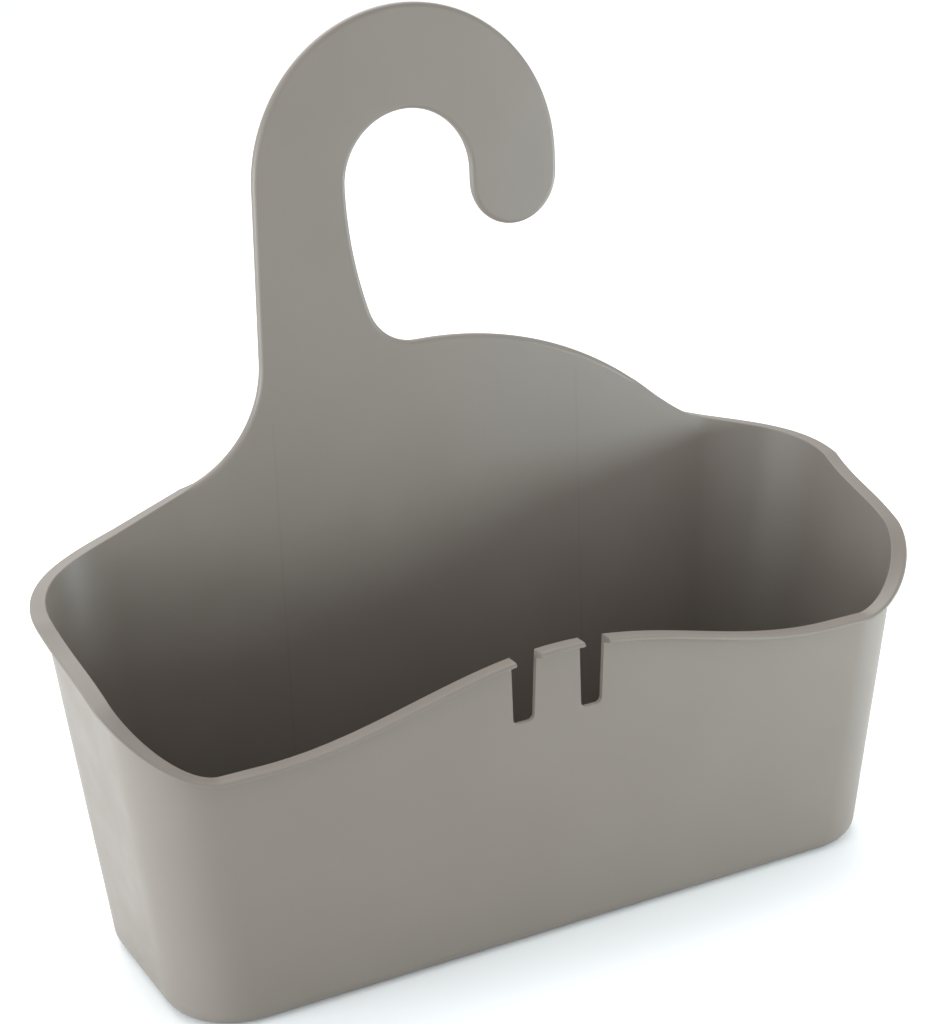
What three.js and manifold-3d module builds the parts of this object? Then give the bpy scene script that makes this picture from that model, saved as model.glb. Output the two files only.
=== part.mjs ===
// Hanging shower caddy: a tapered basket with a wavy rim, and a flat back that rises into a hook.
// Millimetres, +Z up, front of the basket towards -Y. The origin is under the middle of the
// object, on the surface it stands on. The caddy is one moulding; each mesh below is one
// natural region of it, and neighbouring regions meet on flat planes.

import * as THREE from 'three';
import { ParametricGeometry } from 'three/addons/geometries/ParametricGeometry.js';
import { mergeVertices } from 'three/addons/utils/BufferGeometryUtils.js';
import Module from 'manifold-3d';

const wasm = await Module();
wasm.setup();

// ---- Driving dimensions -------------------------------------------------------------------

// Plan of the basket at its base
const BASE_HALF_WIDTH = 119.6;
const BASE_DEPTH = 84;
const FRONT_RADIUS = 22.2;
const REAR_RADIUS = 22.8;
const BACK_Y = 45.2; // rear face of the back wall

// How the plan grows for each millimetre of height
const SIDE_DRAFT = 0.131; // at the rear corners
const SIDE_FRONT_DRAFT = 0.12; // at the front corners
const FRONT_DRAFT = 0.05;
const FRONT_RADIUS_GROWTH = -0.005;
const REAR_RADIUS_GROWTH = 0.09;

// Wall section
const WALL = 1.5;
const BACK_WALL = 2.8; // the back wall and the hook share one thicker plate
const FLOOR = 2;
const BASE_EDGE = 5; // outer radius where the walls turn into the floor
const INNER_EDGE = 3.2;
const EDGE_STEPS = 4;

// Rim height round the basket
const FRONT_LOW = 82.2;
const HUMP_RISE = 15.4;
const HUMP_HALF_WIDTH = 95;
const SIDE_FRONT_RIM = 103.2;
const SIDE_REAR_RIM = 114.3;
const CORNER_RIM = 125.6;
const FRONT_SLOPE = 0.1;
const SIDE_FRONT_SLOPE = 0.36;
const SIDE_REAR_SLOPE = 0.42;
const CORNER_SLOPE = 0.54;

// Outward lip along the rim, and the shorter lip that fades out along the back
const LIP = 3.6;
const LIP_END = 0.4;
const LIP_ROOT = 2.4; // how far the lip's underside reaches down the wall
const LIP_PROFILE = [[0.94, 1.25], [1, 0.9], [0.94, 0.5], [0.55, 0.12]]; // [part of reach, drop]
const LIP_END_X = 78;
const LIP_OVERRUN = 6; // the lip is made this much too long and cut off at its end
const LIP_STEP = 0.02; // how far the lip along the back starts below the plate's edge
const LIP_FADE = 0.045; // loss of lip for each millimetre past the start of the rear corner

// Two slots in the front hump
const SLOT_CENTRES = [-12.8, 9.9];
const SLOT_BOTTOM = 75;
const SLOT_WIDTH = 7.1;
const SLOT_SPREAD = 0.03; // each flank leans out by this much per millimetre
const SLOT_RADIUS = 1.8;
const SLOT_TOP = 110;

// Hook, all in the plane of the back wall
const HOOK_CENTRE_Z = 220;
const HOOK_OUTER = 51;
const HOOK_INNER = 21.2;
const HOOK_INNER_Z = 218.5;
const TIP_CENTRE_Z = 214.8;
const STEM_INNER_RADIUS = 130;
const STEM_FOOT = { x: -53.1, z: 144.7 }; // where the stem's outer edge would meet the flank
const STEM_FILLET = 37;
const HILL = { x: 1.9, z: 43.2, radius: 125 };
const HILL_FILLET = 16;
const HILL_RUNOUT = 70;
const LEFT_FLANK_SLOPE = 0.39;
const RIGHT_FLANK_SLOPE = 0.3;
const FLANK_FOOT = { x: 102, z: 125.6 }; // where both flanks, mirrored, run into the corners

// Drain holes
const DRAIN_RADIUS = 3;
const DRAIN_PITCH_X = 26;
const DRAIN_PITCH_Y = 20;
const DRAIN_COLUMNS = 8;
const DRAIN_ROWS = 3;

// Planes where the regions meet
const SIDE_PLANE = 86;
const STEM_PLANE = 178;
const HOOK_PLANE = 212;
const STEM_RIGHT = -5;
const PLATE_BOTTOM = 12;
const FAR = 400;

// How finely the round parts are divided
const ARC_STEPS = 20;
const FRONT_STEPS = 28;
const CORNER_STEPS = 11;
const SIDE_STEPS = 4;
const BACK_STEPS = 36;

// ---- Solids ------------------------------------------------------------------------------

function toSolid(geometry) {
  const bare = geometry.clone();
  bare.deleteAttribute('normal');
  bare.deleteAttribute('uv');
  const merged = mergeVertices(bare, 1e-4);
  return new wasm.Manifold(new wasm.Mesh({
    numProp: 3,
    vertProperties: new Float32Array(merged.attributes.position.array),
    triVerts: new Uint32Array(merged.index.array),
  }));
}

function toGeometry(solid) {
  const mesh = solid.getMesh();
  const geometry = new THREE.BufferGeometry();
  geometry.setAttribute('position', new THREE.BufferAttribute(mesh.vertProperties, 3));
  geometry.setIndex(new THREE.BufferAttribute(mesh.triVerts, 1));
  geometry.computeVertexNormals();
  return geometry;
}

function block(low, high) {
  const size = new THREE.Vector3().subVectors(high, low);
  const geometry = new THREE.BoxGeometry(size.x, size.y, size.z);
  geometry.translate(low.x + size.x / 2, low.y + size.y / 2, low.z + size.z / 2);
  return toSolid(geometry);
}

// A slab of all space between two X planes, optionally between two Z planes and Y planes
function slab(x0, x1, z0 = -FAR, z1 = FAR, y0 = -FAR, y1 = FAR) {
  return block(new THREE.Vector3(x0, y0, z0), new THREE.Vector3(x1, y1, z1));
}

// A shape drawn in X and Z, made solid from y = nearY to y = farY
function upright(shape, nearY, farY) {
  const geometry = new THREE.ExtrudeGeometry(shape, {
    depth: farY - nearY,
    bevelEnabled: false,
    curveSegments: ARC_STEPS,
  });
  geometry.rotateX(Math.PI / 2);
  geometry.translate(0, farY, 0);
  return toSolid(geometry);
}

// ---- Outline of the back plate -------------------------------------------------------------

const leftFlankAngle = Math.atan(LEFT_FLANK_SLOPE);
const rightFlankAngle = Math.atan(RIGHT_FLANK_SLOPE);

function flankHeight(x) {
  const slope = x < 0 ? LEFT_FLANK_SLOPE : RIGHT_FLANK_SLOPE;
  return FLANK_FOOT.z + slope * (FLANK_FOOT.x - Math.abs(x));
}

// The crossing of two circles that lies on the given side of the line between their centres
function circlesMeet(a, radiusA, b, radiusB, side) {
  const distance = Math.hypot(b.x - a.x, b.z - a.z);
  const along = (radiusA ** 2 - radiusB ** 2 + distance ** 2) / (2 * distance);
  const across = side * Math.sqrt(radiusA ** 2 - along ** 2);
  const unit = { x: (b.x - a.x) / distance, z: (b.z - a.z) / distance };
  return { x: a.x + unit.x * along - unit.z * across, z: a.z + unit.z * along + unit.x * across };
}

// Centre of the hollow curve that eases the hill into the right flank
function runoutCentre() {
  const forward = { x: Math.cos(rightFlankAngle), z: -Math.sin(rightFlankAngle) };
  const lift = { x: -forward.z * HILL_RUNOUT, z: forward.x * HILL_RUNOUT };
  const start = { x: lift.x - HILL.x, z: flankHeight(0) + lift.z - HILL.z };
  const along = start.x * forward.x + start.z * forward.z;
  const gap = start.x ** 2 + start.z ** 2 - (HILL.radius + HILL_RUNOUT) ** 2;
  const run = -along + Math.sqrt(along ** 2 - gap);
  return { x: lift.x + run * forward.x, z: flankHeight(0) + lift.z + run * forward.z };
}

const runout = runoutCentre();
const runoutEndX = runout.x - HILL_RUNOUT * Math.sin(rightFlankAngle);
const runoutStartX = HILL.x + (runout.x - HILL.x) * (HILL.radius / (HILL.radius + HILL_RUNOUT));

// Height of the back wall's edge beside the hill and at the corners
function backEdge(x) {
  if (x < 0 || x > runoutEndX) return flankHeight(x);
  if (x > runoutStartX) return runout.z - Math.sqrt(HILL_RUNOUT ** 2 - (x - runout.x) ** 2);
  return HILL.z + Math.sqrt(HILL.radius ** 2 - (x - HILL.x) ** 2);
}

function angleFrom(centre, point) {
  return Math.atan2(point.z - centre.z, point.x - centre.x);
}

function plateShape() {
  const stemTop = { x: -HOOK_OUTER, z: HOOK_CENTRE_Z };
  const stemAngle = Math.atan2(stemTop.z - STEM_FOOT.z, stemTop.x - STEM_FOOT.x);
  const cut = STEM_FILLET * Math.tan((stemAngle - leftFlankAngle) / 2);
  const footCentre = {
    x: STEM_FOOT.x + Math.cos(stemAngle) * cut - Math.sin(stemAngle) * STEM_FILLET,
    z: STEM_FOOT.z + Math.sin(stemAngle) * cut + Math.cos(stemAngle) * STEM_FILLET,
  };
  const tipX = (HOOK_OUTER + HOOK_INNER) / 2;
  const tipRadius = (HOOK_OUTER - HOOK_INNER) / 2;
  const stemCentre = { x: STEM_INNER_RADIUS - HOOK_INNER, z: HOOK_INNER_Z };
  const filletCentre = circlesMeet(
    HILL, HILL.radius + HILL_FILLET, stemCentre, STEM_INNER_RADIUS - HILL_FILLET, 1);
  const filletStart = angleFrom(stemCentre, filletCentre);
  const hillStart = angleFrom(HILL, filletCentre);
  const hillEnd = angleFrom(HILL, runout);

  const shape = new THREE.Shape();
  shape.moveTo(-BASE_HALF_WIDTH, PLATE_BOTTOM);
  shape.lineTo(-BASE_HALF_WIDTH, flankHeight(-BASE_HALF_WIDTH));
  shape.absarc(footCentre.x, footCentre.z, STEM_FILLET,
    leftFlankAngle - Math.PI / 2, stemAngle - Math.PI / 2, false);
  shape.absarc(0, HOOK_CENTRE_Z, HOOK_OUTER, Math.PI, 0, true);
  shape.absarc(tipX, TIP_CENTRE_Z, tipRadius, 0, -Math.PI, true);
  shape.absarc(0, HOOK_INNER_Z, HOOK_INNER, 0, Math.PI, false);
  shape.absarc(stemCentre.x, stemCentre.z, STEM_INNER_RADIUS,
    -Math.PI, filletStart, false);
  shape.absarc(filletCentre.x, filletCentre.z, HILL_FILLET,
    filletStart, hillStart - Math.PI, false);
  shape.absarc(HILL.x, HILL.z, HILL.radius, hillStart, hillEnd, true);
  shape.absarc(runout.x, runout.z, HILL_RUNOUT,
    hillEnd - Math.PI, -Math.PI / 2 - rightFlankAngle, false);
  shape.lineTo(BASE_HALF_WIDTH, flankHeight(BASE_HALF_WIDTH));
  shape.lineTo(BASE_HALF_WIDTH, PLATE_BOTTOM);
  return shape;
}

// ---- Plan of the basket --------------------------------------------------------------------

const quarter = Math.PI / 2;

// The rounded rectangle of the outer walls at a height; it grows evenly above the floor
function outlineAt(z) {
  const height = Math.max(0, z - FLOOR);
  return {
    frontHalfWidth: BASE_HALF_WIDTH + SIDE_FRONT_DRAFT * height,
    rearHalfWidth: BASE_HALF_WIDTH + SIDE_DRAFT * height,
    frontY: BACK_Y - BASE_DEPTH - FRONT_DRAFT * height,
    frontRadius: FRONT_RADIUS + FRONT_RADIUS_GROWTH * height,
    rearRadius: REAR_RADIUS + REAR_RADIUS_GROWTH * height,
  };
}

// The point of one rounded corner that faces along a normal. A corner of side 0 is the middle
// of the front or the back.
function cornerPoint(outline, corner, normal) {
  const radius = corner.front ? outline.frontRadius : outline.rearRadius;
  const halfWidth = corner.front ? outline.frontHalfWidth : outline.rearHalfWidth;
  const y = corner.front ? outline.frontY + radius : BACK_Y - radius;
  const centre = new THREE.Vector2(corner.side * (halfWidth - radius), y);
  return centre.addScaledVector(normal, radius);
}

// Stations from one corner to another, without the last one: along a straight side the angle of
// the outward normal stays, and round a corner it turns. Each station's place(outline) is its
// point on the outline of any height.
function stretch(from, to, startAngle, endAngle, steps) {
  return Array.from({ length: steps }, (_, i) => {
    const t = i / steps;
    const angle = startAngle + (endAngle - startAngle) * t;
    const normal = new THREE.Vector2(Math.cos(angle), Math.sin(angle));
    const place = (outline) => {
      const start = cornerPoint(outline, from, normal);
      return start.lerp(cornerPoint(outline, to, normal), t);
    };
    return { normal, place };
  });
}

// Stations round the outline, anticlockwise seen from above, from the middle of the front
function planStations() {
  const middle = { side: 0, front: true };
  const [rightFront, leftFront] = [{ side: 1, front: true }, { side: -1, front: true }];
  const [rightRear, leftRear] = [{ side: 1, front: false }, { side: -1, front: false }];
  const stations = [
    ...stretch(middle, rightFront, -quarter, -quarter, FRONT_STEPS),
    ...stretch(rightFront, rightFront, -quarter, 0, CORNER_STEPS),
    ...stretch(rightFront, rightRear, 0, 0, SIDE_STEPS),
    ...stretch(rightRear, rightRear, 0, quarter, CORNER_STEPS),
    ...stretch(rightRear, leftRear, quarter, quarter, BACK_STEPS),
    ...stretch(leftRear, leftRear, quarter, 2 * quarter, CORNER_STEPS),
    ...stretch(leftRear, leftFront, 2 * quarter, 2 * quarter, SIDE_STEPS),
    ...stretch(leftFront, leftFront, 2 * quarter, 3 * quarter, CORNER_STEPS),
    ...stretch(leftFront, middle, 3 * quarter, 3 * quarter, FRONT_STEPS),
  ];
  measureAlong(stations);
  return stations;
}

// Writes into each station how far it is along the base outline from the middle of the front
function measureAlong(stations) {
  const base = outlineAt(0);
  const points = stations.map((station) => station.place(base));
  let walked = 0;
  const ahead = points.map((point, i) => {
    if (i > 0) walked += point.distanceTo(points[i - 1]);
    return walked;
  });
  const lap = walked + points[0].distanceTo(points[points.length - 1]);
  stations.forEach((station, i) => {
    station.walked = Math.min(ahead[i], lap - ahead[i]);
  });
}

// The point at a height on the wall, moved outwards by an offset
function wallPoint(station, offset, z) {
  const point = station.place(outlineAt(z)).addScaledVector(station.normal, offset);
  return new THREE.Vector3(point.x, point.y, z);
}

// A cubic between two knots { at, z, slope }
function ease(from, to, at) {
  const span = to.at - from.at;
  const t = (at - from.at) / span;
  return from.z * (1 + 2 * t) * (1 - t) ** 2 + to.z * t ** 2 * (3 - 2 * t)
    + span * t * (1 - t) * (from.slope * (1 - t) - to.slope * t);
}

const cornerStart = BASE_HALF_WIDTH - FRONT_RADIUS;
const sideStart = cornerStart + FRONT_RADIUS * quarter;
const sideEnd = sideStart + BASE_DEPTH - FRONT_RADIUS - REAR_RADIUS;
const backStart = sideEnd + REAR_RADIUS * quarter;
const rimKnots = [
  { at: cornerStart, z: FRONT_LOW, slope: FRONT_SLOPE },
  { at: sideStart, z: SIDE_FRONT_RIM, slope: SIDE_FRONT_SLOPE },
  { at: sideEnd, z: SIDE_REAR_RIM, slope: SIDE_REAR_SLOPE },
  { at: backStart, z: CORNER_RIM, slope: CORNER_SLOPE },
];

function frontRim(x) {
  if (Math.abs(x) >= HUMP_HALF_WIDTH) return FRONT_LOW;
  return FRONT_LOW + (HUMP_RISE / 2) * (1 + Math.cos((Math.PI * x) / HUMP_HALF_WIDTH));
}

// A straight station's x depends on the height, and the rim's height depends on x
function settle(station, heightAt) {
  let z = FRONT_LOW;
  for (let pass = 0; pass < 6; pass += 1) z = heightAt(station.place(outlineAt(z)).x);
  return z;
}

function rimHeight(station) {
  if (station.walked <= cornerStart) return settle(station, frontRim);
  const next = rimKnots.findIndex((knot) => station.walked <= knot.at);
  if (next > 0) return ease(rimKnots[next - 1], rimKnots[next], station.walked);
  const z = settle(station, backEdge);
  const x = Math.abs(station.place(outlineAt(z)).x);
  return x > LIP_END_X - LIP_OVERRUN ? z - LIP_STEP : 2 * PLATE_BOTTOM;
}

function lipReach(station) {
  const lip = LIP - (station.walked - sideEnd) * LIP_FADE;
  return THREE.MathUtils.clamp(lip, LIP_END, LIP);
}

// The wall thickens to the back wall's thickness over the second half of the rear corner
function wallThickness(station) {
  const cornerMiddle = (sideEnd + backStart) / 2;
  const past = (station.walked - cornerMiddle) / (backStart - cornerMiddle);
  const t = THREE.MathUtils.clamp(past, 0, 1);
  return WALL + (BACK_WALL - WALL) * t;
}

// One closed section of wall, from the floor's edge round the outside, the lip and the inside
function wallSection(station) {
  const rim = rimHeight(station);
  const lip = lipReach(station);
  const thickness = wallThickness(station);
  const points = [];
  for (let i = 0; i <= EDGE_STEPS; i += 1) {
    const angle = (i / EDGE_STEPS) * (Math.PI / 2);
    points.push([-BASE_EDGE + BASE_EDGE * Math.sin(angle), BASE_EDGE * (1 - Math.cos(angle))]);
  }
  points.push([0, rim - LIP_ROOT]);
  LIP_PROFILE.forEach(([reach, drop]) => points.push([lip * reach, rim - drop]));
  points.push([-thickness, rim]);
  for (let i = 0; i <= EDGE_STEPS; i += 1) {
    const angle = (i / EDGE_STEPS) * (Math.PI / 2);
    const reach = (BASE_EDGE - thickness) * Math.cos(angle);
    points.push([-BASE_EDGE + reach, FLOOR + INNER_EDGE * (1 - Math.sin(angle))]);
  }
  return points.map(([offset, z]) => wallPoint(station, offset, z));
}

function wallRing(stations) {
  const sections = stations.map(wallSection);
  const around = sections.length;
  const corners = sections[0].length;
  const surface = (u, v, target) => {
    target.copy(sections[Math.round(u * around) % around][Math.round(v * corners) % corners]);
  };
  return toSolid(new ParametricGeometry(surface, around, corners));
}

// ---- Sub-parts ---------------------------------------------------------------------------

function slotCutter(centre) {
  const half = SLOT_WIDTH / 2;
  const rise = SLOT_TOP - SLOT_BOTTOM;
  const spread = SLOT_SPREAD * rise;
  const shape = new THREE.Shape();
  shape.moveTo(centre - half - spread, SLOT_TOP);
  shape.lineTo(centre - half, SLOT_BOTTOM + SLOT_RADIUS);
  shape.absarc(centre - half + SLOT_RADIUS, SLOT_BOTTOM + SLOT_RADIUS, SLOT_RADIUS,
    Math.PI, Math.PI * 1.5, false);
  shape.absarc(centre + half - SLOT_RADIUS, SLOT_BOTTOM + SLOT_RADIUS, SLOT_RADIUS,
    Math.PI * 1.5, Math.PI * 2, false);
  shape.lineTo(centre + half + spread, SLOT_TOP);
  return upright(shape, -FAR, 0);
}

function floorPanel(stations) {
  const outline = stations.map((station) => wallPoint(station, -BASE_EDGE, 0));
  const shape = new THREE.Shape(outline.map((point) => new THREE.Vector2(point.x, point.y)));
  const middle = BACK_Y - BASE_DEPTH / 2;
  for (let column = 0; column < DRAIN_COLUMNS; column += 1) {
    for (let row = 0; row < DRAIN_ROWS; row += 1) {
      const x = (column - (DRAIN_COLUMNS - 1) / 2) * DRAIN_PITCH_X;
      const y = middle + (row - (DRAIN_ROWS - 1) / 2) * DRAIN_PITCH_Y;
      const hole = new THREE.Path();
      hole.absarc(x, y, DRAIN_RADIUS, 0, Math.PI * 2, true);
      shape.holes.push(hole);
    }
  }
  return toSolid(new THREE.ExtrudeGeometry(shape, {
    depth: FLOOR,
    bevelEnabled: false,
    curveSegments: 8,
  }));
}

const moulding = new THREE.MeshStandardMaterial({
  color: 0x89837c,
  roughness: 0.45,
  metalness: 0,
});

function region(name, solid) {
  const mesh = new THREE.Mesh(toGeometry(solid), moulding.clone());
  mesh.name = name;
  return mesh;
}

// ---- Assembly ------------------------------------------------------------------------------

const stations = planStations();
const ring = wallRing(stations);
const plate = upright(plateShape(), BACK_Y - BACK_WALL, BACK_Y);

const behindHill = slab(-LIP_END_X, LIP_END_X, -FAR, FAR, BACK_Y, FAR);
const backBlock = slab(-SIDE_PLANE, SIDE_PLANE, -FAR, STEM_PLANE, 0, FAR);
const back = ring.subtract(behindHill).add(plate).intersect(backBlock);

const aboveHill = plate.intersect(slab(-FAR, FAR, STEM_PLANE, FAR));
const stemBlock = slab(-FAR, STEM_RIGHT, STEM_PLANE, HOOK_PLANE);

const slots = SLOT_CENTRES.map(slotCutter);
const front = slots.reduce((solid, slot) => solid.subtract(slot), ring.intersect(
  slab(-SIDE_PLANE, SIDE_PLANE, -FAR, FAR, -FAR, 0)));
const [leftSlot, rightSlot] = SLOT_CENTRES;

const caddy = new THREE.Group();
caddy.name = 'shower_caddy';
caddy.add(
  region('floor', floorPanel(stations)),
  region('back_wall', back),
  region('left_wall', ring.intersect(slab(-FAR, -SIDE_PLANE))),
  region('right_wall', ring.intersect(slab(SIDE_PLANE, FAR))),
  region('front_wall_left', front.intersect(slab(-FAR, leftSlot))),
  region('front_tongue', front.intersect(slab(leftSlot, rightSlot))),
  region('front_wall_right', front.intersect(slab(rightSlot, FAR))),
  region('hook_stem', aboveHill.intersect(stemBlock)),
  region('hook', aboveHill.subtract(stemBlock)),
);

export default caddy;
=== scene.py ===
"""The looks of a moulded hanging shower caddy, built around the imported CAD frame.

The caddy is one moulding. Its skin is made as one closed surface with rounded edges: a section
swept round the basket, a strip along the outline of the back plate and hook, and flat faces
between them. The skin is then cut on the planes where the CAD regions meet, so that every region
has a closed piece of its own. Units are metres.
"""

import math

import bmesh
import bpy
from mathutils import Matrix, Vector
from mathutils.geometry import delaunay_2d_cdt


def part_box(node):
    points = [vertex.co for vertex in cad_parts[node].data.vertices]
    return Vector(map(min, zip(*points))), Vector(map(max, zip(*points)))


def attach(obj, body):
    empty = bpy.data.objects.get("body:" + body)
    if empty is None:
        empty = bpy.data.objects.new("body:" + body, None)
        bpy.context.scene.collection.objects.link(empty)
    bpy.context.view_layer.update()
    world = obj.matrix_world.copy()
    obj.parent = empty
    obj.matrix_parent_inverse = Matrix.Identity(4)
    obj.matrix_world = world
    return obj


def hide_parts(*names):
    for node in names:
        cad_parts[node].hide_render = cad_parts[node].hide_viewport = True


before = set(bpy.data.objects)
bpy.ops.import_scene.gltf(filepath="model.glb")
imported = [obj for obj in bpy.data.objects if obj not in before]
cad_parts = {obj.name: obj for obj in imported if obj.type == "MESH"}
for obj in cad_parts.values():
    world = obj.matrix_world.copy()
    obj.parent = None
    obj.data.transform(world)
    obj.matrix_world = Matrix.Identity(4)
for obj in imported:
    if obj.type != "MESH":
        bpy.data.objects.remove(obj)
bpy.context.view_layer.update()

# ---- Sizes from the frame --------------------------------------------------------------------

BODY = "root"
MM = 0.001

floor_low, floor_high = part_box("floor")
hook_low, hook_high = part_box("hook")
stem_low, stem_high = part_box("hook_stem")
tongue_low, tongue_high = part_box("front_tongue")
_, back_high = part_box("back_wall")

BASE_EDGE = 5 * MM
FLOOR = floor_high.z
BASE_HALF_WIDTH = floor_high.x + BASE_EDGE
BASE_FRONT_Y = floor_low.y - BASE_EDGE
BACK_Y = hook_high.y
BACK_WALL = hook_high.y - hook_low.y
BASE_DEPTH = BACK_Y - BASE_FRONT_Y
SLOT_CENTRES = (tongue_low.x, tongue_high.x)
SIDE_PLANE = back_high.x
STEM_PLANE = stem_low.z
HOOK_PLANE = stem_high.z

# ---- Shape of the basket ---------------------------------------------------------------------

FRONT_RADIUS = 22.2 * MM
REAR_RADIUS = 22.8 * MM
SIDE_DRAFT = 0.131  # at the rear corners
SIDE_FRONT_DRAFT = 0.12  # at the front corners
FRONT_DRAFT = 0.05
FRONT_RADIUS_GROWTH = -0.005
REAR_RADIUS_GROWTH = 0.09

WALL = 1.5 * MM
INNER_EDGE = 3.2 * MM

FRONT_LOW = 82.2 * MM
HUMP_RISE = 15.4 * MM
HUMP_HALF_WIDTH = 95 * MM
SIDE_FRONT_RIM = 103.2 * MM
SIDE_REAR_RIM = 114.3 * MM
CORNER_RIM = 125.6 * MM
FRONT_SLOPE = 0.1
SIDE_FRONT_SLOPE = 0.36
SIDE_REAR_SLOPE = 0.42
CORNER_SLOPE = 0.54

LIP = 3.6 * MM
LIP_ROOT = 2.4 * MM
LIP_RISE = 1.15 * MM  # the underside of the lip rises this much towards its nose
LIP_FOOT = 0.5 * MM  # fillet between the wall and the underside
LIP_CORNER = 0.25 * MM  # rounding of the nose's lower corner
LIP_NOSE = Vector((1.1, 0.95)) * MM  # rounding between the nose and the top
LIP_EDGE = 0.35 * MM  # rounding of the rim's inner edge
LIP_FADE = 12.5  # share of the lip lost for each metre past the start of the rear corner
LIP_END_X = 79 * MM

PLATE_FRONT_EDGE = 1.5 * MM
PLATE_REAR_EDGE = 0.9 * MM

SLOT_BOTTOM = 75 * MM
SLOT_WIDTH = 7.1 * MM
SLOT_SPREAD = 0.03
SLOT_RADIUS = 1.8 * MM
SLOT_EDGE = 0.48 * MM

# ---- Shape of the back plate and hook --------------------------------------------------------

HOOK_OUTER = hook_high.x
HOOK_CENTRE_Z = hook_high.z - HOOK_OUTER
HOOK_INNER = 21.2 * MM
HOOK_INNER_Z = 218.5 * MM
TIP_CENTRE_Z = 214.8 * MM
STEM_INNER_RADIUS = 130 * MM
STEM_FOOT = Vector((-53.1, 144.7)) * MM
STEM_FILLET = 37 * MM
HILL_CENTRE = Vector((1.9, 43.2)) * MM
HILL_RADIUS = 125 * MM
HILL_FILLET = 16 * MM
HILL_RUNOUT = 70 * MM
LEFT_FLANK_SLOPE = 0.39
RIGHT_FLANK_SLOPE = 0.3
FLANK_FOOT = Vector((102, 125.6)) * MM
FLANK_TURN = 15 * MM  # length over which the edge's section leans from upright to square

# ---- Drain holes -----------------------------------------------------------------------------

DRAIN_RADIUS = 3 * MM
DRAIN_PITCH_X = 26 * MM
DRAIN_PITCH_Y = 20 * MM
DRAIN_COLUMNS = 8
DRAIN_ROWS = 3
DRAIN_EDGE = 0.4 * MM
DRAIN_STEPS = 28

# ---- Faint upright lines of painted shade inside the back wall, where a mould step would shade ---

SHADE_LINE_PLACES = (-50 * MM, 56 * MM)
SHADE_LINE_WIDTH = 0.8 * MM
SHADE_LINE_TOP = 150 * MM
SHADE_LINE_BOTTOM = 40 * MM
# Painted shade: the colour is darkened by this tint along the lines, in place of a modelled mould
# step.
SHADE_LINE_TINT = (0.95, 0.95, 0.95, 1)

# ---- Fineness --------------------------------------------------------------------------------

STRAIGHT_STEP = 2.5 * MM
CORNER_STEPS = 24
SIDE_STEPS = 14
PATH_STEP = 2.2 * MM
EDGE_STEPS = 8
WALL_ROWS = 5
FILL_STEP = 7 * MM
SUPPORT = 2.5 * MM  # distance from a rounding to the first row on the flat
SLIVER = 1e-9  # twice the area below which a triangle is no triangle


# ---- Mesh helpers ----------------------------------------------------------------------------


class Skin:
    """Vertices and faces of one closed surface."""

    def __init__(self):
        self.points = []
        self.faces = []

    def add(self, point):
        self.points.append(Vector(point))
        return len(self.points) - 1

    def column(self, points):
        return [self.add(point) for point in points]

    def bridge(self, first, second):
        """Quads between two columns of the same length."""
        for i in range(len(first) - 1):
            self.faces.append((first[i], second[i], second[i + 1], first[i + 1]))

    def bridge_all(self, columns, closed=False):
        for first, second in zip(columns, columns[1:]):
            self.bridge(first, second)
        if closed:
            self.bridge(columns[-1], columns[0])

    def fill(self, loops, flatten, lift, step):
        """Even triangles on a flat face bounded by loops; the first loop is the outer one."""
        border = [flatten(self.points[i]) for loop in loops for i in loop]
        edges = []
        start = 0
        for loop in loops:
            count = len(loop)
            edges += [(start + i, start + (i + 1) % count) for i in range(count)]
            start += count
        ids = [i for loop in loops for i in loop]
        rings = [[flatten(self.points[i]) for i in loop] for loop in loops]
        inner = grid_inside(rings, step)
        made = delaunay_2d_cdt(border + inner, edges, [], 1, 1e-9, True)
        known = {}
        for new, old in enumerate(made[3]):
            if old and old[0] < len(ids):
                known[new] = ids[old[0]]
            else:
                known[new] = self.add(lift(made[0][new]))
        for face in made[2]:
            a, b, c = (made[0][i] for i in face)
            if abs((b - a).cross(c - a)) < SLIVER:
                continue
            middle = (a + b + c) / 3
            if inside(rings[0], middle) and not any(inside(r, middle) for r in rings[1:]):
                self.faces.append(tuple(known[i] for i in face))

    def to_bmesh(self):
        mesh = bpy.data.meshes.new("skin")
        mesh.from_pydata(self.points, [], self.faces)
        made = bmesh.new()
        made.from_mesh(mesh)
        bpy.data.meshes.remove(mesh)
        bmesh.ops.recalc_face_normals(made, faces=made.faces)
        return made


def inside(ring, point):
    """Whether a 2-D point lies inside a closed ring."""
    found = False
    for a, b in zip(ring, ring[1:] + ring[:1]):
        if (a.y > point.y) != (b.y > point.y):
            if point.x < a.x + (point.y - a.y) * (b.x - a.x) / (b.y - a.y):
                found = not found
    return found


def near(ring, point, distance):
    return any((corner - point).length < distance for corner in ring)


def grid_inside(rings, step):
    """Points of a triangular grid in the outer ring, clear of every ring."""
    outer = rings[0]
    low = Vector((min(p.x for p in outer), min(p.y for p in outer)))
    high = Vector((max(p.x for p in outer), max(p.y for p in outer)))
    rise = step * math.sqrt(3) / 2
    points = []
    for row in range(1, int((high.y - low.y) / rise) + 1):
        shift = step / 2 if row % 2 else 0
        for column in range(int((high.x - low.x) / step) + 2):
            point = Vector((low.x + column * step + shift, low.y + row * rise))
            if not inside(outer, point) or any(inside(ring, point) for ring in rings[1:]):
                continue
            if not any(near(ring, point, step * 0.6) for ring in rings):
                points.append(point)
    return points


def arc(centre, radius, start, end, steps):
    """Points of an arc, with both ends; angles in radians."""
    turn = (end - start) / steps
    angles = [start + turn * i for i in range(steps + 1)]
    return [centre + radius * Vector((math.cos(a), math.sin(a))) for a in angles]


def smooth(t):
    t = min(1, max(0, t))
    return t * t * (3 - 2 * t)


# ---- Plan and rim of the basket --------------------------------------------------------------


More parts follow.
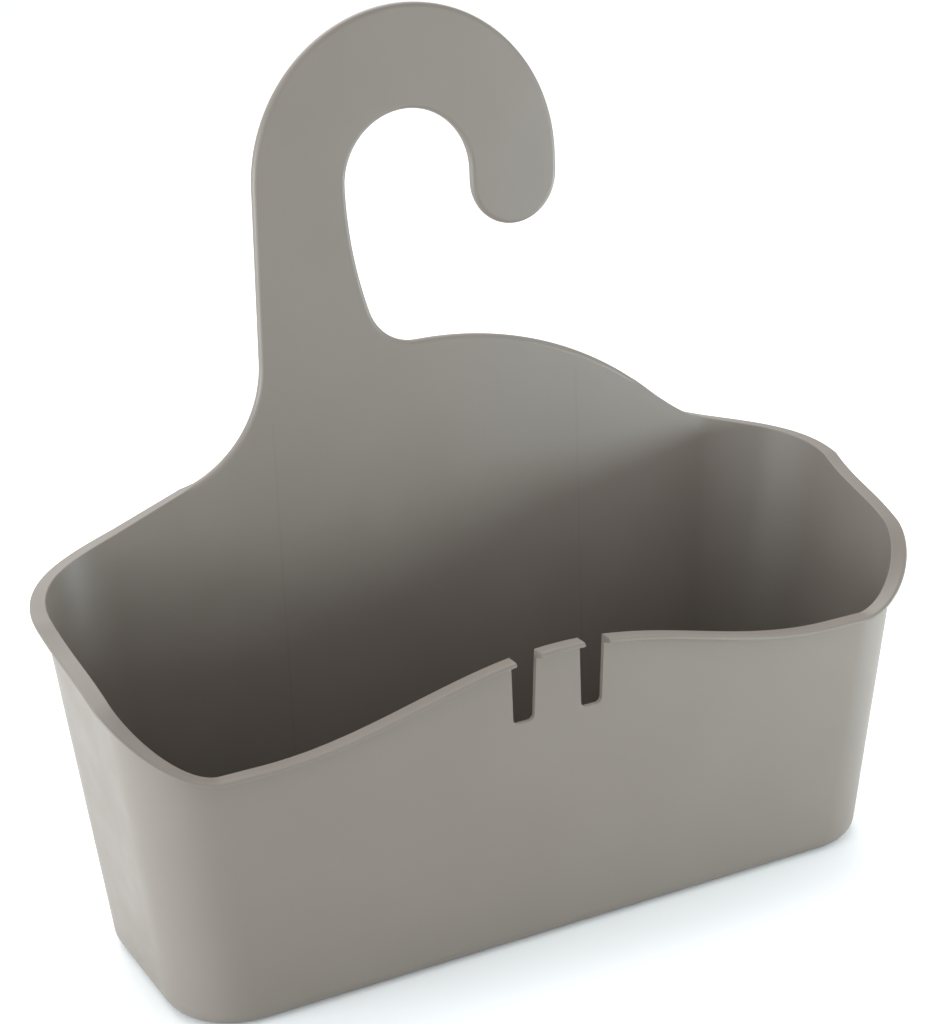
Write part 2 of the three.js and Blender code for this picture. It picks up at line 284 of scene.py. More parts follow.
def outline_at(z):
    """Half widths, front y and corner radii of the outer walls at a height."""
    height = max(0, z - FLOOR)
    return {
        "front_half_width": BASE_HALF_WIDTH + SIDE_FRONT_DRAFT * height,
        "rear_half_width": BASE_HALF_WIDTH + SIDE_DRAFT * height,
        "front_y": BASE_FRONT_Y - FRONT_DRAFT * height,
        "front_radius": FRONT_RADIUS + FRONT_RADIUS_GROWTH * height,
        "rear_radius": REAR_RADIUS + REAR_RADIUS_GROWTH * height,
    }


class Station:
    """A place on the plan: between two corners, each (side, is it a front corner)."""

    def __init__(self, start, end, share, angle):
        self.ends = (start, end)
        self.share = share
        self.normal = Vector((math.cos(angle), math.sin(angle)))
        self.walked = 0

    def place(self, z):
        outline = outline_at(z)
        first, last = (self._corner_point(outline, *corner) for corner in self.ends)
        return first.lerp(last, self.share)

    def _corner_point(self, outline, side, front):
        end = "front" if front else "rear"
        radius = outline[f"{end}_radius"]
        depth = outline["front_y"] + radius if front else BACK_Y - radius
        centre = Vector((side * (outline[f"{end}_half_width"] - radius), depth))
        return centre + self.normal * radius

    def point(self, offset, z):
        place = self.place(z) + self.normal * offset
        return Vector((place.x, place.y, z))


LEFT_REAR, LEFT_FRONT = (-1, False), (-1, True)
RIGHT_FRONT, RIGHT_REAR = (1, True), (1, False)
QUARTER = math.pi / 2

CORNER_START = BASE_HALF_WIDTH - FRONT_RADIUS
SIDE_START = CORNER_START + FRONT_RADIUS * QUARTER
SIDE_END = SIDE_START + BASE_DEPTH - FRONT_RADIUS - REAR_RADIUS
BACK_START = SIDE_END + REAR_RADIUS * QUARTER
RIM_KNOTS = (
    (CORNER_START, FRONT_LOW, FRONT_SLOPE),
    (SIDE_START, SIDE_FRONT_RIM, SIDE_FRONT_SLOPE),
    (SIDE_END, SIDE_REAR_RIM, SIDE_REAR_SLOPE),
    (BACK_START, CORNER_RIM, CORNER_SLOPE),
)


def run(start, end, angle, steps, angle_end=None):
    """Stations from one corner to another, without the last one."""
    turn = 0 if angle_end is None else (angle_end - angle) / steps
    return [Station(start, end, i / steps, angle + turn * i) for i in range(steps)]


def basket_stations():
    """Stations from the left end of the back, round the front, to the right end of the back."""
    front_steps = round(2 * CORNER_START / STRAIGHT_STEP)
    stations = run(LEFT_REAR, LEFT_REAR, QUARTER, CORNER_STEPS, 2 * QUARTER)
    stations += run(LEFT_REAR, LEFT_FRONT, 2 * QUARTER, SIDE_STEPS)
    stations += run(LEFT_FRONT, LEFT_FRONT, 2 * QUARTER, CORNER_STEPS, 3 * QUARTER)
    stations += run(LEFT_FRONT, RIGHT_FRONT, 3 * QUARTER, front_steps)
    stations += run(RIGHT_FRONT, RIGHT_FRONT, 3 * QUARTER, CORNER_STEPS, 4 * QUARTER)
    stations += run(RIGHT_FRONT, RIGHT_REAR, 4 * QUARTER, SIDE_STEPS)
    stations += run(RIGHT_REAR, RIGHT_REAR, 4 * QUARTER, CORNER_STEPS, 5 * QUARTER)
    stations.append(Station(RIGHT_REAR, RIGHT_REAR, 0, QUARTER))
    places = [station.place(0) for station in stations]
    walked = [0]
    for here, there in zip(places, places[1:]):
        walked.append(walked[-1] + (there - here).length)
    for station, distance in zip(stations, walked):
        station.walked = abs(distance - walked[-1] / 2)
    return stations


def back_stations():
    """Stations between the two ends of the back, from right to left, without the ends."""
    steps = round(2 * (BASE_HALF_WIDTH - REAR_RADIUS) / STRAIGHT_STEP)
    return run(RIGHT_REAR, LEFT_REAR, QUARTER, steps)[1:]


def ease(start, end, at):
    """A cubic between two knots (distance, height, slope)."""
    span = end[0] - start[0]
    t = (at - start[0]) / span
    value = start[1] * (1 + 2 * t) * (1 - t) ** 2 + end[1] * t**2 * (3 - 2 * t)
    return value + span * t * (1 - t) * (start[2] * (1 - t) - end[2] * t)


def front_rim(x):
    if abs(x) >= HUMP_HALF_WIDTH:
        return FRONT_LOW
    return FRONT_LOW + HUMP_RISE / 2 * (1 + math.cos(math.pi * x / HUMP_HALF_WIDTH))


def rim_height(station):
    if station.walked <= CORNER_START:
        z = FRONT_LOW
        for _ in range(6):
            z = front_rim(station.place(z).x)
        return z
    for start, end in zip(RIM_KNOTS, RIM_KNOTS[1:]):
        if station.walked <= end[0]:
            return ease(start, end, station.walked)
    return CORNER_RIM


def wall_thickness(station):
    """The wall thickens to the back wall over the second half of the rear corner."""
    middle = (SIDE_END + BACK_START) / 2
    share = min(1, max(0, (station.walked - middle) / (BACK_START - middle)))
    return WALL + (BACK_WALL - WALL) * share


# ---- Sections of the rim ---------------------------------------------------------------------


def lip_section(thickness):
    """(offset, height) from the outer wall, over the lip, to the inner wall."""
    rise = math.atan2(LIP_RISE, LIP)
    foot_turn = QUARTER - rise
    foot_centre = Vector((LIP_FOOT, -LIP_ROOT - LIP_FOOT * math.tan(foot_turn / 2)))
    foot = arc(foot_centre, LIP_FOOT, math.pi, math.pi - foot_turn, 3)
    reach = LIP - LIP_CORNER
    depth = (reach * math.sin(rise) + LIP_CORNER) / math.cos(rise)
    corner = arc(Vector((reach, depth - LIP_ROOT)), LIP_CORNER, rise - QUARTER, 0, 4)
    nose = [
        Vector((LIP - LIP_NOSE.x * (1 - p.x), -LIP_NOSE.y * (1 - p.y)))
        for p in arc(Vector((0, 0)), 1, 0, QUARTER, EDGE_STEPS)
    ]
    edge = Vector((-thickness + LIP_EDGE, 0))
    top = [nose[-1].lerp(edge, i / 6) for i in range(1, 6)]
    inner = arc(edge - Vector((0, LIP_EDGE)), LIP_EDGE, QUARTER, 2 * QUARTER, EDGE_STEPS)
    outer_rows = [Vector((0, z)) for z in (-LIP_ROOT - 2 * SUPPORT, -LIP_ROOT - 1.2 * MM)]
    inner_rows = [Vector((-thickness, z)) for z in (-LIP_EDGE - 0.8 * MM, -LIP_EDGE - SUPPORT)]
    middle = [foot[-1].lerp(corner[0], 0.5)]
    return outer_rows + foot + middle + corner + nose + top + inner + inner_rows


def plain_section(thickness):
    """The rounded edge of the plate, with as many points as the lip's section."""
    rear_centre = Vector((-PLATE_REAR_EDGE, -PLATE_REAR_EDGE))
    rear = arc(rear_centre, PLATE_REAR_EDGE, 0, QUARTER, EDGE_STEPS)
    front_centre = Vector((-thickness + PLATE_FRONT_EDGE, -PLATE_FRONT_EDGE))
    front = arc(front_centre, PLATE_FRONT_EDGE, QUARTER, 2 * QUARTER, EDGE_STEPS)
    flat = [rear[-1].lerp(front[0], i / 6) for i in range(1, 6)]
    outer_rows = [Vector((0, -PLATE_REAR_EDGE - i * 0.35 * MM)) for i in range(12, 0, -1)]
    end = -PLATE_FRONT_EDGE
    inner_rows = [Vector((-thickness, z)) for z in (end - 0.8 * MM, end - SUPPORT)]
    return outer_rows + rear + flat + front + inner_rows


def lip_share(walked):
    """How much of the lip's reach is left at a distance along the base outline."""
    return min(1, 1 - LIP_FADE * (walked - SIDE_END))


def rim_section(share, thickness, ending=0):
    """The lip with a share of its reach; an ending of 1 turns it into the plate's plain edge."""
    lip = [Vector((p.x * share if p.x > 0 else p.x, p.y)) for p in lip_section(thickness)]
    plain = plain_section(thickness)
    return [a.lerp(b, ending) for a, b in zip(lip, plain, strict=True)]


# ---- Outline of the back plate and hook ------------------------------------------------------


def flank_slope(x):
    return LEFT_FLANK_SLOPE if x < 0 else RIGHT_FLANK_SLOPE


def flank_height(x):
    return FLANK_FOOT.y + flank_slope(x) * (FLANK_FOOT.x - abs(x))


def unit(angle):
    return Vector((math.cos(angle), math.sin(angle)))


def circles_meet(a, radius_a, b, radius_b):
    """The crossing of two circles on the left of the line from a to b."""
    gap = b - a
    along = (radius_a**2 - radius_b**2 + gap.length**2) / (2 * gap.length)
    across = math.sqrt(radius_a**2 - along**2)
    forward = gap.normalized()
    return a + forward * along + Vector((-forward.y, forward.x)) * across


def runout_centre():
    """Centre of the hollow curve that eases the hill into the right flank."""
    angle = math.atan(RIGHT_FLANK_SLOPE)
    along = Vector((math.cos(angle), -math.sin(angle)))
    above = Vector((math.sin(angle), math.cos(angle)))
    start = Vector((0, flank_height(0))) + above * HILL_RUNOUT
    ahead = (start - HILL_CENTRE).dot(along)
    gap = (start - HILL_CENTRE).length_squared - (HILL_RADIUS + HILL_RUNOUT) ** 2
    return start + along * (-ahead + math.sqrt(ahead**2 - gap))


def trace_line(start, end):
    """(point, outward normal) along a straight edge, without its ends."""
    forward = (end - start).normalized()
    normal = Vector((-forward.y, forward.x))
    steps = max(1, round((end - start).length / PATH_STEP))
    return [(start.lerp(end, i / steps), normal) for i in range(1, steps)]


def trace_arc(centre, radius, start, end):
    """(point, outward normal) along an arc; clockwise arcs bulge outwards."""
    steps = max(4, math.ceil(abs(end - start) * max(radius / PATH_STEP, 10)))
    sign = 1 if end < start else -1
    angles = [start + (end - start) * i / steps for i in range(steps + 1)]
    return [(centre + unit(a) * radius, unit(a) * sign) for a in angles]


def angle_from(centre, point):
    return math.atan2(point.y - centre.y, point.x - centre.x)


def plate_outline(left, right):
    """The top edge of the plate from the left end of the back to the right, in x and z."""
    left_flank = math.atan(LEFT_FLANK_SLOPE)
    right_flank = math.atan(RIGHT_FLANK_SLOPE)
    stem_top = Vector((-HOOK_OUTER, HOOK_CENTRE_Z))
    stem_angle = angle_from(STEM_FOOT, stem_top)
    cut = STEM_FILLET * math.tan((stem_angle - left_flank) / 2)
    foot = STEM_FOOT + unit(stem_angle) * cut + unit(stem_angle + QUARTER) * STEM_FILLET
    tip = Vector(((HOOK_OUTER + HOOK_INNER) / 2, TIP_CENTRE_Z))
    inner = Vector((0, HOOK_INNER_Z))
    stem = Vector((STEM_INNER_RADIUS - HOOK_INNER, HOOK_INNER_Z))
    fillet = circles_meet(
        HILL_CENTRE, HILL_RADIUS + HILL_FILLET, stem, STEM_INNER_RADIUS - HILL_FILLET
    )
    fillet_start = angle_from(stem, fillet)
    hill_start = angle_from(HILL_CENTRE, fillet)
    runout = runout_centre()
    hill_end = angle_from(HILL_CENTRE, runout)
    half = math.pi

    arcs = (
        (foot, STEM_FILLET, left_flank - QUARTER, stem_angle - QUARTER),
        (Vector((0, HOOK_CENTRE_Z)), HOOK_OUTER, half, 0),
        (tip, (HOOK_OUTER - HOOK_INNER) / 2, 0, -half),
        (inner, HOOK_INNER, 0, half),
        (stem, STEM_INNER_RADIUS, -half, fillet_start),
        (fillet, HILL_FILLET, fillet_start, hill_start - half),
        (HILL_CENTRE, HILL_RADIUS, hill_start, hill_end),
        (runout, HILL_RUNOUT, hill_end - half, -QUARTER - right_flank),
    )
    path = []
    last = left
    for centre, radius, start, end in arcs:
        points = trace_arc(centre, radius, start, end)
        gap = (points[0][0] - last).length
        if gap > PATH_STEP / 2:
            path += trace_line(last, points[0][0])
        else:
            points = points[1:]
        path += points
        last = points[-1][0]
    path += trace_line(last, right)
    margin = PATH_STEP / 2
    return [step for step in path if left.x + margin < step[0].x < right.x - margin]


def back_section(x, end_x):
    """The section at a place on the back's edge, between its ends at -end_x and end_x."""
    walked = BACK_START + (end_x - abs(x)) * (BASE_HALF_WIDTH - REAR_RADIUS) / end_x
    ending = smooth((LIP_END_X - abs(x)) / (2 * MM))
    return rim_section(max(0, lip_share(walked)), BACK_WALL, ending)


# ---- The skin of walls, back and hook --------------------------------------------------------


def wall_column(station):
    """One closed section of wall; also where its strip of rim starts and ends."""
    rim = rim_height(station)
    thickness = wall_thickness(station)
    outer_edge = arc(Vector((-BASE_EDGE, BASE_EDGE)), BASE_EDGE, -QUARTER, 0, EDGE_STEPS)
    section = rim_section(lip_share(station.walked), thickness)
    strip = [Vector((p.x, p.y + rim)) for p in section]
    reach = BASE_EDGE - thickness
    inner_edge = [
        Vector((-BASE_EDGE + reach * math.cos(a), FLOOR + INNER_EDGE * (1 - math.sin(a))))
        for a in (QUARTER * i / EDGE_STEPS for i in range(EDGE_STEPS + 1))
    ]
    outer_foot = Vector((0, BASE_EDGE + SUPPORT))
    inner_foot = Vector((-thickness, FLOOR + INNER_EDGE + SUPPORT))
    outer = [outer_foot.lerp(strip[0], i / WALL_ROWS) for i in range(WALL_ROWS)]
    inner = [strip[-1].lerp(inner_foot, i / WALL_ROWS) for i in range(1, WALL_ROWS + 1)]
    rows = outer_edge + outer + strip + inner + inner_edge
    start = len(outer_edge) + len(outer)
    return [station.point(p.x, p.y) for p in rows], start, start + len(strip)


def edge_columns(skin, station):
    """The rounded lower edge at a place on the back: outer rows, then inner rows."""
    points = wall_column(station)[0]
    return skin.column(points[: EDGE_STEPS + 2]), skin.column(points[-EDGE_STEPS - 2 :])


def plate_columns(skin, left, right):
    """Strip sections along the plate's outline, from the left end of the back to the right."""
    columns = []
    path = plate_outline(left, right)
    gaps = [
        CORNER_RIM - point.y + flank_slope(point.x) * abs(end.x - point.x)
        for point, end in ((path[0][0], left), (path[-1][0], right))
    ]
    for point, normal in path:
        lean = smooth(min(point.x - left.x, right.x - point.x) / FLANK_TURN)
        down = -Vector((0, 1)).lerp(normal, lean).normalized()
        section = back_section(point.x, right.x)
        lift = gaps[0 if point.x < 0 else 1] * (1 - lean)
        rows = []
        for offset, height in section:
            place = point - down * height
            rows.append(Vector((place.x, BACK_Y + offset, place.y + lift)))
        columns.append(skin.column(rows))
    return columns


def shell():
    """Walls, rim, back and hook as one closed surface."""
    skin = Skin()
    stations = basket_stations()
    made = [wall_column(station) for station in stations]
    start, end = made[0][1:]
    walls = [skin.column(points) for points, _, _ in made]
    skin.bridge_all(walls)

    left_top = Vector((stations[0].place(CORNER_RIM).x, CORNER_RIM))
    right_top = Vector((stations[-1].place(CORNER_RIM).x, CORNER_RIM))
    plate = plate_columns(skin, left_top, right_top)
    strips = [walls[-1][start:end]] + plate[::-1] + [walls[0][start:end]]
    skin.bridge_all(strips)

    foot_rows = EDGE_STEPS + 2
    feet = [edge_columns(skin, station) for station in back_stations()]
    outer = [walls[-1][:foot_rows]] + [foot[0] for foot in feet] + [walls[0][:foot_rows]]
    inner = [walls[-1][-foot_rows:]] + [foot[1] for foot in feet] + [walls[0][-foot_rows:]]
    skin.bridge_all(outer)
    skin.bridge_all(inner)

    rear_loop = [strip[0] for strip in strips]
    rear_loop += walls[0][start - 1 : foot_rows - 1 : -1]
    rear_loop += [column[-1] for column in outer[::-1]]
    rear_loop += walls[-1][foot_rows:start]
    front_loop = [strip[-1] for strip in strips]
    front_loop += walls[0][end:-foot_rows]
    front_loop += [column[0] for column in inner[::-1]]
    front_loop += walls[-1][-foot_rows - 1 : end - 1 : -1]
    for loop, y in ((rear_loop, BACK_Y), (front_loop, BACK_Y - BACK_WALL)):
        skin.fill(
            [loop],
            lambda p: Vector((p.x, p.z)),
            lambda p, y=y: Vector((p.x, y, p.y)),
            FILL_STEP,
        )

    bottoms = [column[0] for column in walls + outer[1:-1]]
    tops = [column[-1] for column in walls + inner[1:-1]]
    for i in range(len(bottoms)):
        j = (i + 1) % len(bottoms)
        skin.faces.append((bottoms[i], tops[i], tops[j], bottoms[j]))
    return skin


# ---- Slots -----------------------------------------------------------------------------------


def slot_cutter(centre):
    """A prism through the front wall, with a rounded bottom and flanks that lean out."""
    half = SLOT_WIDTH / 2
    top = FRONT_LOW + 2 * HUMP_RISE
    spread = SLOT_SPREAD * (top - SLOT_BOTTOM)
    low = SLOT_BOTTOM + SLOT_RADIUS
    right = arc(Vector((half - SLOT_RADIUS, low)), SLOT_RADIUS, -QUARTER, 0, 8)
    left = arc(Vector((SLOT_RADIUS - half, low)), SLOT_RADIUS, -2 * QUARTER, -QUARTER, 8)
    outline = left + right + [Vector((half + spread, top)), Vector((-half - spread, top))]
    cutter = Skin()
    near_loop = cutter.column([(centre + p.x, 2 * BASE_FRONT_Y, p.y) for p in outline])
    far_loop = cutter.column([(centre + p.x, 0, p.y) for p in outline])
    cutter.bridge(near_loop + near_loop[:1], far_loop + far_loop[:1])
    cutter.faces += [tuple(near_loop), tuple(far_loop)]
    return cutter


def new_object(name, surface):
    mesh = bpy.data.meshes.new(name)
    surface.to_mesh(mesh)
    surface.free()
    piece = bpy.data.objects.new(name, mesh)
    bpy.context.scene.collection.objects.link(piece)
    return piece


def apply_modifiers(piece):
    bpy.context.view_layer.update()
    evaluated = piece.evaluated_get(bpy.context.evaluated_depsgraph_get())
    made = bpy.data.meshes.new_from_object(evaluated)
    old = piece.data
    piece.modifiers.clear()
    piece.data = made
    bpy.data.meshes.remove(old)


def remove(piece):
    mesh = piece.data
    bpy.data.objects.remove(piece)
    bpy.data.meshes.remove(mesh)


def cut_slots(body):
    for centre in SLOT_CENTRES:
        cutter = new_object("cutter", slot_cutter(centre).to_bmesh())
        cut = body.modifiers.new("slot", "BOOLEAN")
        cut.operation = "DIFFERENCE"
        cut.solver = "EXACT"
        cut.object = cutter
        apply_modifiers(body)
        remove(cutter)


def in_slot(point):
    return (
        point.y < 0
        and point.z > SLOT_BOTTOM - MM
        and any(abs(point.x - centre) < SLOT_WIDTH * 0.65 for centre in SLOT_CENTRES)
    )


def round_slots(body):
    """Small roundings along the edges that the cutters left."""
    surface = bmesh.new()
    surface.from_mesh(body.data)
    weight = surface.edges.layers.float.new("bevel_weight_edge")
    for edge in surface.edges:
        sharp = edge.calc_face_angle(0) > math.radians(35)
        if sharp and all(in_slot(vertex.co) for vertex in edge.verts):
            edge[weight] = 1
    surface.to_mesh(body.data)
    surface.free()
    bevel = body.modifiers.new("edge", "BEVEL")
    bevel.limit_method = "WEIGHT"
    bevel.width = SLOT_EDGE
    bevel.segments = 3
    apply_modifiers(body)


# ---- Regions ---------------------------------------------------------------------------------


def region_of(point):
    """The CAD region that a point of the shell belongs to."""
    if point.z > STEM_PLANE:
        low_stem = point.x < 0 and point.z < HOOK_PLANE
        return "hook_stem" if low_stem else "hook"
    if point.x < -SIDE_PLANE:
        return "left_wall"
    if point.x > SIDE_PLANE:
        return "right_wall"
    if point.y > 0:
        return "back_wall"
    if point.x < SLOT_CENTRES[0]:
        return "front_wall_left"
    if point.x > SLOT_CENTRES[1]:
        return "front_wall_right"
    return "front_tongue"


def split(surface, place, axis, wanted=lambda point: True):
    """Edges along a plane, through the faces whose middles are wanted."""
    faces = [face for face in surface.faces if wanted(face.calc_center_median())]
    edges = {edge for face in faces for edge in face.edges}
    verts = {vert for face in faces for vert in face.verts}
    bmesh.ops.bisect_plane(
        surface,
        geom=[*verts, *edges, *faces],
        dist=1e-7,
        plane_co=place,
        plane_no=axis,
    )


def split_regions(body):
    surface = bmesh.new()
    surface.from_mesh(body.data)
    bmesh.ops.triangulate(surface, faces=[f for f in surface.faces if len(f.verts) > 4])
    across, up = Vector((1, 0, 0)), Vector((0, 0, 1))
    for side in (-1, 1):
        split(surface, across * side * SIDE_PLANE, across)
    for centre in SLOT_CENTRES:
        split(surface, across * centre, across, lambda p: p.y < 0)
    split(surface, up * STEM_PLANE, up)
    split(surface, up * HOOK_PLANE, up, lambda p: p.x < 0)
    return surface


def region_piece(surface, name):
    """A closed piece of one region: its faces of the shell, and flat ends where it was cut."""
    part = surface.copy()
    others = [f for f in part.faces if region_of(f.calc_center_median()) != name]
    bmesh.ops.delete(part, geom=others, context="FACES")
    bmesh.ops.recalc_face_normals(part, faces=part.faces)
    for face in part.faces:
        face.smooth = True
    rims = [edge for edge in part.edges if edge.is_boundary]
    ends = bmesh.ops.holes_fill(part, edges=rims, sides=0)["faces"]
    for face in ends:
        face.smooth = False
    for edge in rims:
        edge.smooth = False
    bmesh.ops.triangulate(part, faces=ends)
    return new_object(f"{name}_skin", part)


def weigh_normals(piece):
    """Large flat faces keep their own direction beside small roundings."""
    weighted = piece.modifiers.new("normals", "WEIGHTED_NORMAL")
    weighted.mode = "FACE_AREA"
    weighted.keep_sharp = True
    apply_modifiers(piece)


def shell_pieces():
    body = new_object("shell", shell().to_bmesh())
    cut_slots(body)
    round_slots(body)
    surface = split_regions(body)
    remove(body)
    names = [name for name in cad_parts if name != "floor"]
    pieces = {name: region_piece(surface, name) for name in names}
    surface.free()
    return pieces


# ---- Floor of the basket ---------------------------------------------------------------------


def drain_centres():
    middle = BACK_Y - BASE_DEPTH / 2
    for column in range(DRAIN_COLUMNS):
        for row in range(DRAIN_ROWS):
            x = (column - (DRAIN_COLUMNS - 1) / 2) * DRAIN_PITCH_X
            yield Vector((x, middle + (row - (DRAIN_ROWS - 1) / 2) * DRAIN_PITCH_Y))


def drain_columns(skin, centre):
    """The wall of one drain hole with its two rounded edges, as columns round the hole."""
    middle = DRAIN_RADIUS + DRAIN_EDGE
    low = arc(Vector((middle, DRAIN_EDGE)), DRAIN_EDGE, -QUARTER, -2 * QUARTER, 4)
    high = arc(Vector((middle, FLOOR - DRAIN_EDGE)), DRAIN_EDGE, 2 * QUARTER, QUARTER, 4)
    outside = middle + DRAIN_EDGE
    section = [Vector((outside, 0))] + low + high + [Vector((outside, FLOOR))]
    columns = []
    for i in range(DRAIN_STEPS):
        way = unit(2 * math.pi * i / DRAIN_STEPS)
        columns.append(
            skin.column([(centre.x + way.x * p.x, centre.y + way.y * p.x, p.y) for p in section])
        )
    skin.bridge_all(columns, closed=True)
    return columns


def floor_piece():
    skin = Skin()
    stations = basket_stations() + back_stations()
    rim = [station.point(-BASE_EDGE, 0) for station in stations]
    inset = [station.point(-BASE_EDGE - MM, 0) for station in stations]
    rise = Vector((0, 0, FLOOR))
    sections = [
        skin.column([b, a, a + rise, b + rise]) for a, b in zip(rim, inset, strict=True)
    ]
    skin.bridge_all(sections, closed=True)
    drains = [drain_columns(skin, centre) for centre in drain_centres()]
    for row, z in ((0, 0), (-1, FLOOR)):
        loops = [[section[row] for section in sections]]
        loops += [[column[row] for column in drain] for drain in drains]
        skin.fill(
            loops,
            lambda p: Vector((p.x, p.y)),
            lambda p, z=z: Vector((p.x, p.y, z)),
            FILL_STEP,
        )
    surface = skin.to_bmesh()
    for face in surface.faces:
        upright = abs(face.normal.z) < 0.5
        end = upright and all(v.co.z in (0, FLOOR) for v in face.verts)
        face.smooth = not end
    return new_object("floor_skin", surface)


# ---- Material --------------------------------------------------------------------------------


class Nodes:
    """Short calls for building a material's nodes."""

    def __init__(self, name):
        self.material = bpy.data.materials.new(name)
        self.material.use_nodes = True
        self.tree = self.material.node_tree
        self.shader = self.tree.nodes["Principled BSDF"]

    def node(self, kind, **values):
        made = self.tree.nodes.new(kind)
        for name, value in values.items():
            if name in made.inputs:
                made.inputs[name].default_value = value
            else:
                setattr(made, name, value)
        return made

    def link(self, source, target):
        self.tree.links.new(source, target)

    def noise(self, where, scale, detail):
        made = self.node("ShaderNodeTexNoise", Scale=scale, Detail=detail)
        self.link(where, made.inputs["Vector"])
        return made.outputs["Fac"]

    def spread(self, value, low, high):
        """Maps a noise value to a range."""
        made = self.node("ShaderNodeMapRange")
        made.inputs["From Min"].default_value = 0.3
        made.inputs["From Max"].default_value = 0.7
        made.inputs["To Min"].default_value = low
        made.inputs["To Max"].default_value = high
        self.link(value, made.inputs["Value"])
        return made.outputs["Result"]

    def ramp(self, value, dark, light):
        made = self.node("ShaderNodeValToRGB")
        made.color_ramp.elements[0].position = 0.3
        made.color_ramp.elements[0].color = dark
        made.color_ramp.elements[1].position = 0.7
        made.color_ramp.elements[1].color = light
        self.link(value, made.inputs["Fac"])
        return made.outputs["Color"]

    def between(self, value, low, high):
        """1 where a value lies between two limits, elsewhere 0."""
        made = self.node("ShaderNodeMath", operation="COMPARE")
        self.link(value, made.inputs[0])
        made.inputs[1].default_value = (low + high) / 2
        made.inputs[2].default_value = (high - low) / 2
        return made.outputs[0]

    def product(self, first, second):
        made = self.node("ShaderNodeMath", operation="MULTIPLY")
        self.link(first, made.inputs[0])
        self.link(second, made.inputs[1])
        return made.outputs[0]

    def in_box(self, where, low, high):
        """1 inside an upright box, elsewhere 0."""
        axes = self.node("ShaderNodeSeparateXYZ")
        self.link(where, axes.inputs[0])
        found = [self.between(axes.outputs[i], low[i], high[i]) for i in range(3)]
        return self.product(self.product(found[0], found[1]), found[2])

    def shade(self, colour, mask, tint):
        """Multiplies a colour by a tint where the mask is 1."""
        made = self.node("ShaderNodeMix", data_type="RGBA", blend_type="MULTIPLY")
        self.link(mask, made.inputs[0])
        self.link(colour, made.inputs[6])
        made.inputs[7].default_value = tint
        return made.outputs[2]

    def bump(self, height, strength, distance, below=None):
        made = self.node("ShaderNodeBump", Strength=strength, Distance=distance)
        self.link(height, made.inputs["Height"])
        if below:
            self.link(below, made.inputs["Normal"])
        return made.outputs["Normal"]


TAUPE_DARK = (0.151, 0.129, 0.109, 1)
TAUPE_LIGHT = (0.158, 0.135, 0.115, 1)


def moulded_plastic():
    """Satin moulded plastic: a faint flow mottle, a fine tool grain, slight waviness and two faint
    upright lines of painted shade.
    """
    nodes = Nodes("taupe_plastic")
    where = nodes.node("ShaderNodeTexCoord").outputs["Object"]
    mottle = nodes.noise(where, 30, 3)
    colour = nodes.ramp(mottle, TAUPE_DARK, TAUPE_LIGHT)
    front = BACK_Y - BACK_WALL
    # Painted shade: faint darker upright lines on the back wall's inner face, where a mould step
    # would shade.
    for place in SHADE_LINE_PLACES:
        low = (place - SHADE_LINE_WIDTH / 2, front - MM, SHADE_LINE_BOTTOM)
        high = (place + SHADE_LINE_WIDTH / 2, front + MM, SHADE_LINE_TOP)
        colour = nodes.shade(colour, nodes.in_box(where, low, high), SHADE_LINE_TINT)
    nodes.link(colour, nodes.shader.inputs["Base Color"])
    patches = nodes.noise(where, 60, 4)
    nodes.link(nodes.spread(patches, 0.4, 0.5), nodes.shader.inputs["Roughness"])
    wave = nodes.bump(nodes.noise(where, 14, 1), 0.01, 0.0003)
    grain = nodes.bump(nodes.noise(where, 2200, 2), 0.12, 0.00003, wave)
    nodes.link(grain, nodes.shader.inputs["Normal"])
    nodes.shader.inputs["Specular IOR Level"].default_value = 0.45
    return nodes.material


def floor_paint():
    nodes = Nodes("studio_floor")
    where = nodes.node("ShaderNodeTexCoord").outputs["Object"]
    colour = nodes.ramp(nodes.noise(where, 3, 2), (0.93, 0.93, 0.93, 1), (0.95, 0.95, 0.95, 1))
    nodes.link(colour, nodes.shader.inputs["Base Color"])
    nodes.shader.inputs["Roughness"].default_value = 0.9
    nodes.shader.inputs["Specular IOR Level"].default_value = 0.1
    return nodes.material


# ---- Studio ----------------------------------------------------------------------------------

CAMERA_AZIMUTH = math.radians(-27.085)
CAMERA_ELEVATION = math.radians(19.825)
CAMERA_ROLL = math.radians(-2.281)
CAMERA_DISTANCE = 0.6997
CAMERA_LENS = 81.85
CAMERA_TARGET = Vector((-0.0047, BACK_Y - 0.0415, 0.1244))


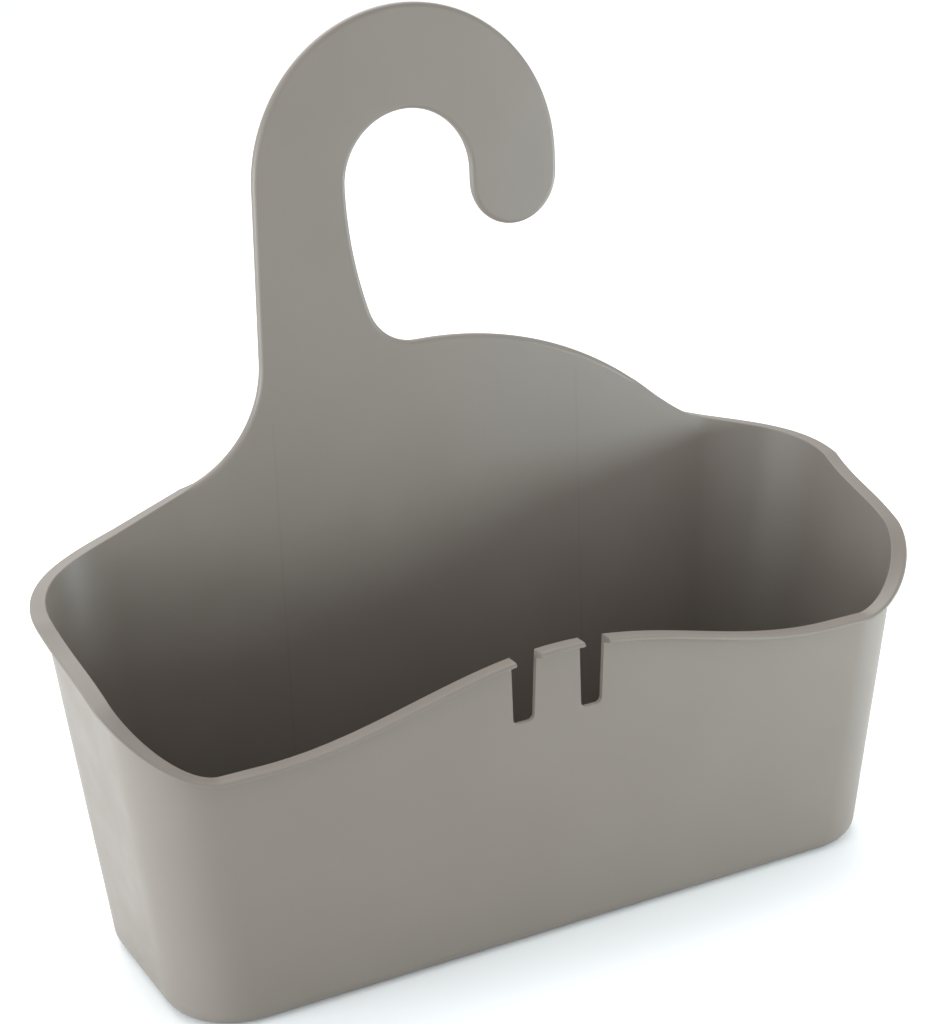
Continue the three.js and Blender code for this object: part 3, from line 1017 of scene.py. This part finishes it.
def camera():
    """Looks from the front left, a little above the object, turned slightly about its view."""
    data = bpy.data.cameras.new("camera")
    data.lens = CAMERA_LENS
    data.sensor_width = 36
    data.clip_start = 0.01
    flat = math.cos(CAMERA_ELEVATION)
    back = Vector(
        (
            math.sin(CAMERA_AZIMUTH) * flat,
            -math.cos(CAMERA_AZIMUTH) * flat,
            math.sin(CAMERA_ELEVATION),
        )
    )
    level = Vector((math.cos(CAMERA_AZIMUTH), math.sin(CAMERA_AZIMUTH), 0))
    up = back.cross(level)
    right = level * math.cos(CAMERA_ROLL) + up * math.sin(CAMERA_ROLL)
    above = back.cross(right)
    rows = Matrix((right, above, back)).transposed().to_4x4()
    made = bpy.data.objects.new("camera", data)
    made.matrix_world = Matrix.Translation(CAMERA_TARGET + back * CAMERA_DISTANCE) @ rows
    bpy.context.scene.collection.objects.link(made)
    bpy.context.scene.camera = made


LIGHT_AIM = Vector((0, 0, 0.1))
COOL = (0.84, 0.94, 1)
COOL_GREEN = (0.82, 0.96, 1)
WARM = (1, 0.98, 0.96)


def area_light(name, place, size, power, colour):
    """A round soft light at a place, aimed at the middle of the basket."""
    data = bpy.data.lights.new(name, "AREA")
    data.shape = "DISK"
    data.size = size
    data.energy = power
    data.color = colour
    made = bpy.data.objects.new(name, data)
    turn = (LIGHT_AIM - Vector(place)).to_track_quat("-Z", "Y")
    made.matrix_world = Matrix.Translation(place) @ turn.to_matrix().to_4x4()
    bpy.context.scene.collection.objects.link(made)


def studio():
    world = bpy.data.worlds.new("studio")
    world.use_nodes = True
    world.node_tree.nodes["Background"].inputs["Color"].default_value = (0.94, 0.98, 1, 1)
    world.node_tree.nodes["Background"].inputs["Strength"].default_value = 1.12
    bpy.context.scene.world = world
    bpy.context.scene.view_settings.view_transform = "Standard"
    area_light("left", (-1.1, 0, 0.12), 0.6, 14, COOL)
    area_light("front_left", (-1, -0.5, 0.1), 0.4, 4, COOL)
    area_light("right", (0.5, -0.26, 0.06), 0.1, 2.4, COOL_GREEN)
    area_light("top", (0.1, 0.6, 1.1), 1.4, 13, WARM)


def studio_floor():
    surface = bmesh.new()
    bmesh.ops.create_grid(surface, x_segments=8, y_segments=8, size=8)
    made = new_object("floor_stage", surface)
    made.location.z = -0.0001
    made.data.materials.append(floor_paint())


# ---- Run -------------------------------------------------------------------------------------


def build():
    pieces = shell_pieces()
    pieces["floor"] = floor_piece()
    plastic = moulded_plastic()
    for name, piece in pieces.items():
        weigh_normals(piece)
        piece.data.materials.clear()
        piece.data.materials.append(plastic)
        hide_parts(name)
        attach(piece, BODY)


camera()
build()
studio_floor()
studio()
